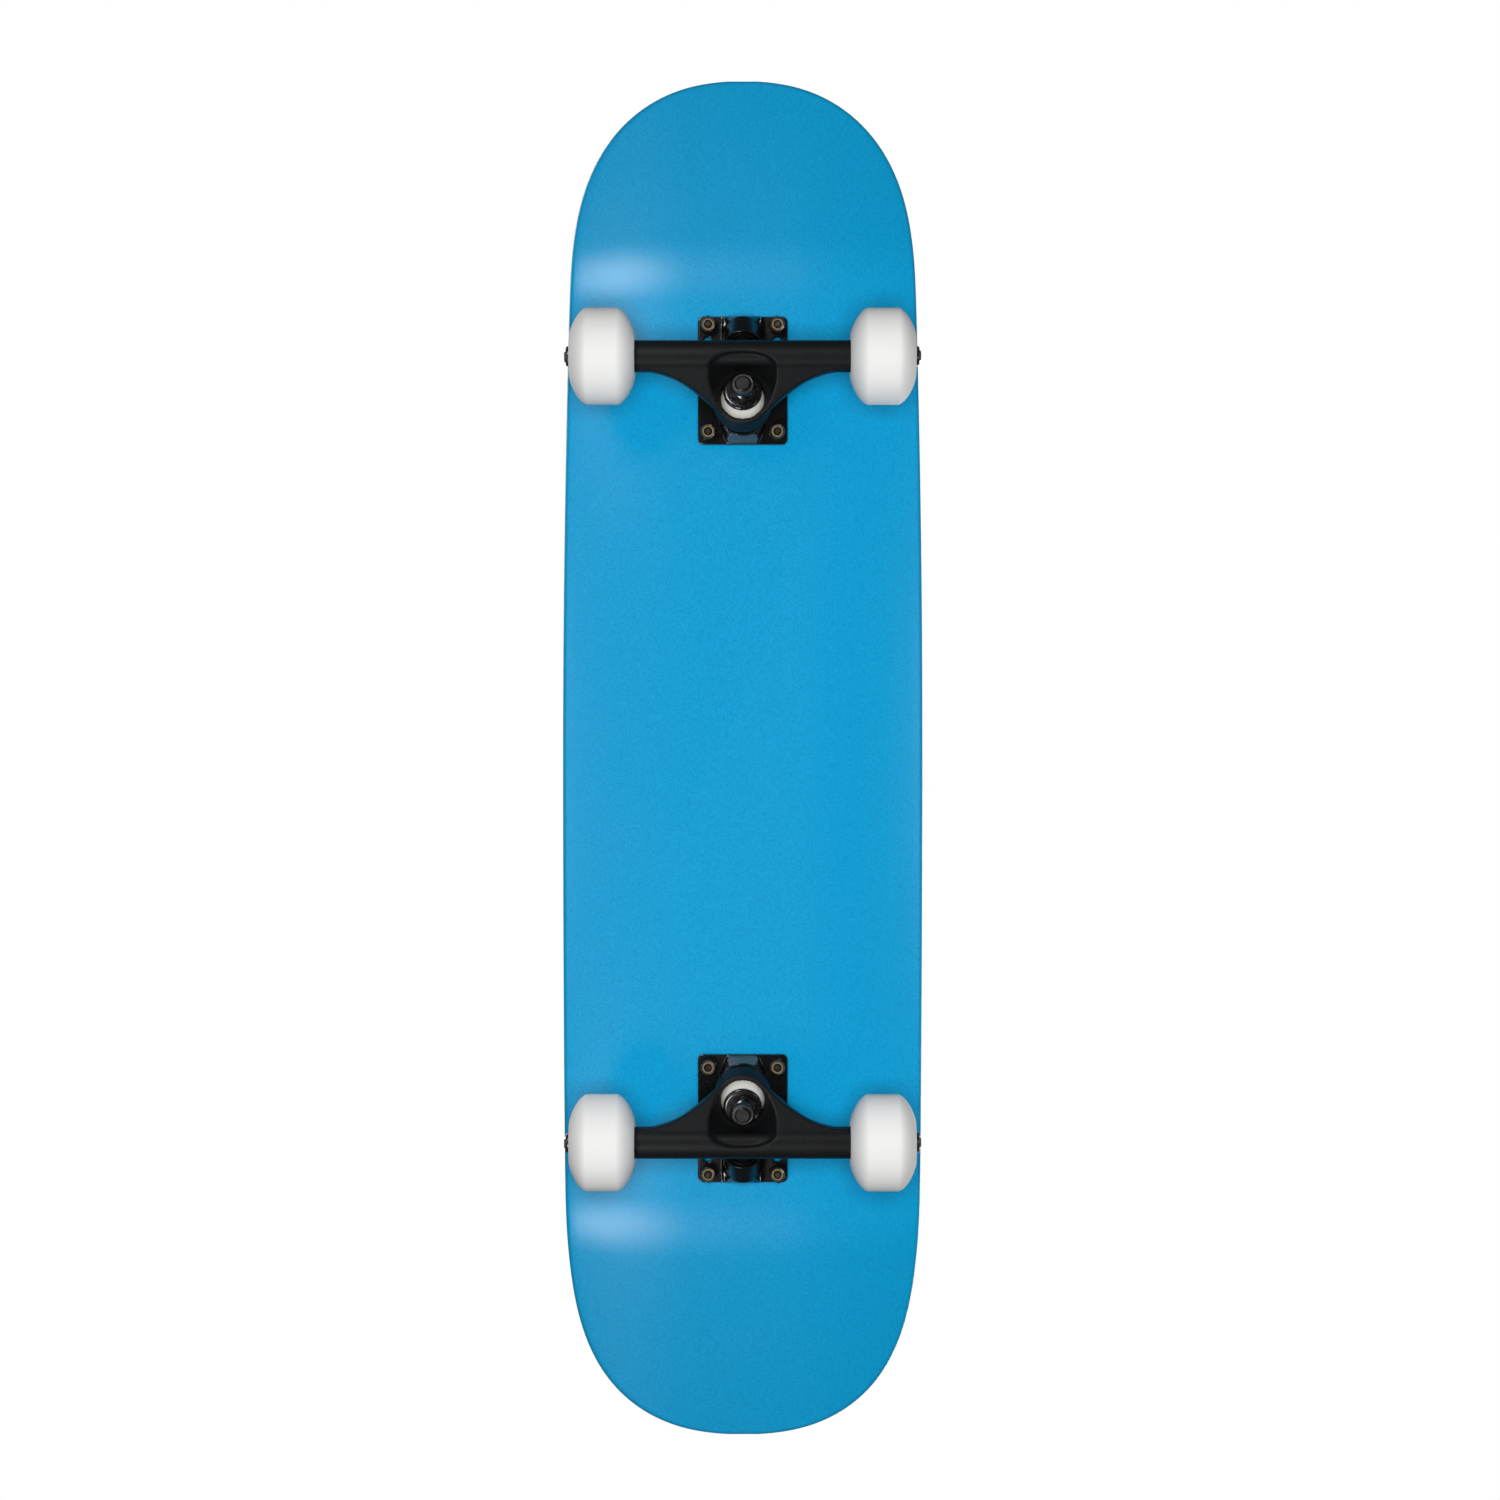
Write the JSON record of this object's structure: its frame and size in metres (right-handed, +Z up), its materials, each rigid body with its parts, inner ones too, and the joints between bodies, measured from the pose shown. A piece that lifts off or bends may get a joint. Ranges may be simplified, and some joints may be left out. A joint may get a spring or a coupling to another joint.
{
  "type": "skateboard",
  "caption": "Skateboard with a kicked, dished maple deck, grip tape, leaning cast trucks on urethane bushings, and urethane wheels on ball bearings.",
  "frame": {"origin": "on the ground under the middle of the deck's length and width", "axes": "+X to the nose, +Y to the rider's left when facing the nose, +Z up; the wheels stand on Z = 0"},
  "size_m": [0.8276, 0.216, 0.1408],
  "materials": {
    "painted_maple": "satin blue paint with a fine speckle over maple ply",
    "grip_grit": "black abrasive sheet",
    "gloss_black_casting": "gloss black enamel on cast aluminium",
    "satin_black_casting": "satin black powder coat on cast aluminium",
    "black_steel": "glossy black-oxide steel; the locknuts carry amber nylon collars",
    "zinc_steel": "bright zinc plate",
    "bearing_steel": "ground bearing steel with pressed shields",
    "ivory_urethane": "ivory cast urethane, satin",
    "white_urethane": "white cast urethane, satin"
  },
  "bodies": {
    "board": {"deck": "painted_maple", "grip_tape": "grip_grit", "front_baseplate": "gloss_black_casting", "front_pivot_cup": "ivory_urethane", "front_kingpin": "black_steel", "front_kingpin_nut": "black_steel", "front_boardside_washer": "black_steel", "front_roadside_washer": "black_steel", "front_boardside_bushing": "ivory_urethane", "front_roadside_bushing": "ivory_urethane", "front_bolt_1": "black_steel", "front_locknut_1": "black_steel", "front_bolt_2": "black_steel", "front_locknut_2": "black_steel", "front_bolt_3": "black_steel", "front_locknut_3": "black_steel", "front_bolt_4": "black_steel", "front_locknut_4": "black_steel", "rear_baseplate": "gloss_black_casting", "rear_pivot_cup": "ivory_urethane", "rear_kingpin": "black_steel", "rear_kingpin_nut": "black_steel", "rear_boardside_washer": "black_steel", "rear_roadside_washer": "black_steel", "rear_boardside_bushing": "ivory_urethane", "rear_roadside_bushing": "ivory_urethane", "rear_bolt_1": "black_steel", "rear_locknut_1": "black_steel", "rear_bolt_2": "black_steel", "rear_locknut_2": "black_steel", "rear_bolt_3": "black_steel", "rear_locknut_3": "black_steel", "rear_bolt_4": "black_steel", "rear_locknut_4": "black_steel"},
    "front_hanger": {"front_hanger": "satin_black_casting", "front_axle": "zinc_steel", "front_left_spacer_stack": "zinc_steel", "front_left_axle_nut": "black_steel", "front_right_spacer_stack": "zinc_steel", "front_right_axle_nut": "black_steel"},
    "front_left_wheel": {"front_left_wheel": "white_urethane", "front_left_outer_bearing": "bearing_steel", "front_left_inner_bearing": "bearing_steel"},
    "front_right_wheel": {"front_right_wheel": "white_urethane", "front_right_outer_bearing": "bearing_steel", "front_right_inner_bearing": "bearing_steel"},
    "rear_hanger": {"rear_hanger": "satin_black_casting", "rear_axle": "zinc_steel", "rear_left_spacer_stack": "zinc_steel", "rear_left_axle_nut": "black_steel", "rear_right_spacer_stack": "zinc_steel", "rear_right_axle_nut": "black_steel"},
    "rear_left_wheel": {"rear_left_wheel": "white_urethane", "rear_left_outer_bearing": "bearing_steel", "rear_left_inner_bearing": "bearing_steel"},
    "rear_right_wheel": {"rear_right_wheel": "white_urethane", "rear_right_outer_bearing": "bearing_steel", "rear_right_inner_bearing": "bearing_steel"}
  },
  "joints": [
    {"name": "front_steer", "type": "hinge", "parent": "board", "child": "front_hanger", "pos_m": [0.23915, 0, 0.06701], "axis": [0.9252, 0, 0.3795], "range_deg": [-15, 15], "stiffness_Nm_per_rad": 80, "deforming": ["front_boardside_bushing", "front_roadside_bushing"]},
    {"name": "front_left_spin", "type": "hinge", "parent": "front_hanger", "child": "front_left_wheel", "pos_m": [0.22266, 0.0815, 0.028], "axis": [0, 1, 0], "continuous": true},
    {"name": "front_right_spin", "type": "hinge", "parent": "front_hanger", "child": "front_right_wheel", "pos_m": [0.22266, -0.0815, 0.028], "axis": [0, 1, 0], "continuous": true},
    {"name": "rear_steer", "type": "hinge", "parent": "board", "child": "rear_hanger", "pos_m": [-0.25015, 0, 0.06701], "axis": [0.9252, 0, -0.3795], "range_deg": [-15, 15], "stiffness_Nm_per_rad": 80, "deforming": ["rear_boardside_bushing", "rear_roadside_bushing"]},
    {"name": "rear_left_spin", "type": "hinge", "parent": "rear_hanger", "child": "rear_left_wheel", "pos_m": [-0.23366, 0.0815, 0.028], "axis": [0, 1, 0], "continuous": true},
    {"name": "rear_right_spin", "type": "hinge", "parent": "rear_hanger", "child": "rear_right_wheel", "pos_m": [-0.23366, -0.0815, 0.028], "axis": [0, 1, 0], "continuous": true}
  ]
}
